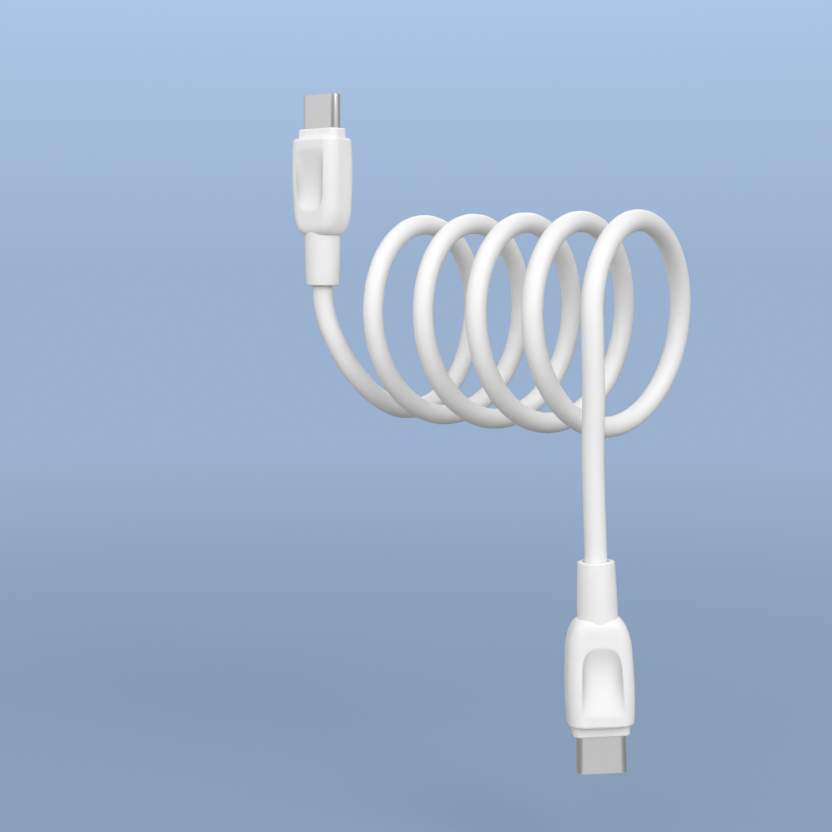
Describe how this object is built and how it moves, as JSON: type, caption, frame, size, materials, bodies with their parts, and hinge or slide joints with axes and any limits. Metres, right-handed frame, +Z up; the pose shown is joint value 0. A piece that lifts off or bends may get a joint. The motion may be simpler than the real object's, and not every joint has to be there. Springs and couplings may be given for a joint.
{
  "type": "charging cable",
  "caption": "White charging cable with a flat reversible plug on each end, its cord wound in open loops round a rod",
  "frame": {"origin": "on the axis of the rod that the loops hang on, at the middle of the loops", "axes": "+X along the rod's axis, towards the end where the cord leaves for the hanging plug; +Z up, the way the standing plug points; -Y towards the front, where both plugs lie"},
  "size_m": [0.0742, 0.0432, 0.1144],
  "materials": {
    "cover_plastic": "satin",
    "relief_plastic": "satin",
    "mould_plastic": "satin",
    "shell_steel": "fine satin",
    "housing_plastic": "matt",
    "contact_gold": "plated",
    "spring_steel": "bright",
    "circuit_card": "gloss",
    "chip_plastic": "matt",
    "can_steel": "tinned",
    "crimp_brass": "plain",
    "braid_wire": "tinned",
    "cord_jacket": "smooth satin",
    "red_insulation": "smooth",
    "black_insulation": "smooth",
    "blue_insulation": "smooth",
    "green_insulation": "smooth",
    "white_insulation": "smooth",
    "bare_copper": "soldered"
  },
  "bodies": {
    "root": {"upper_cover": "cover_plastic", "upper_strain_relief": "relief_plastic", "upper_inner_mould": "mould_plastic", "upper_plug_shell": "shell_steel", "upper_contact_housing": "housing_plastic", "upper_contacts": "contact_gold", "upper_latch_plate": "spring_steel", "upper_ground_springs": "spring_steel", "upper_paddle_card": "circuit_card", "upper_card_parts": "chip_plastic", "upper_shield_can_top": "can_steel", "upper_shield_can_bottom": "can_steel", "upper_crimp_sleeve": "crimp_brass", "upper_shield_braid": "braid_wire", "upper_cord_end": "cord_jacket", "upper_power_wire": "red_insulation", "upper_ground_wire": "black_insulation", "upper_config_wire": "blue_insulation", "upper_data_plus_wire": "green_insulation", "upper_data_minus_wire": "white_insulation", "upper_wire_tips": "bare_copper", "lower_cover": "cover_plastic", "lower_strain_relief": "relief_plastic", "lower_inner_mould": "mould_plastic", "lower_plug_shell": "shell_steel", "lower_contact_housing": "housing_plastic", "lower_contacts": "contact_gold", "lower_latch_plate": "spring_steel", "lower_ground_springs": "spring_steel", "lower_paddle_card": "circuit_card", "lower_card_parts": "chip_plastic", "lower_shield_can_top": "can_steel", "lower_shield_can_bottom": "can_steel", "lower_crimp_sleeve": "crimp_brass", "lower_shield_braid": "braid_wire", "lower_cord_end": "cord_jacket", "lower_power_wire": "red_insulation", "lower_ground_wire": "black_insulation", "lower_config_wire": "blue_insulation", "lower_data_plus_wire": "green_insulation", "lower_data_minus_wire": "white_insulation", "lower_wire_tips": "bare_copper", "cord_upper_run": "cord_jacket", "cord_coil": "cord_jacket", "cord_lower_run": "cord_jacket"}
  },
  "joints": []
}
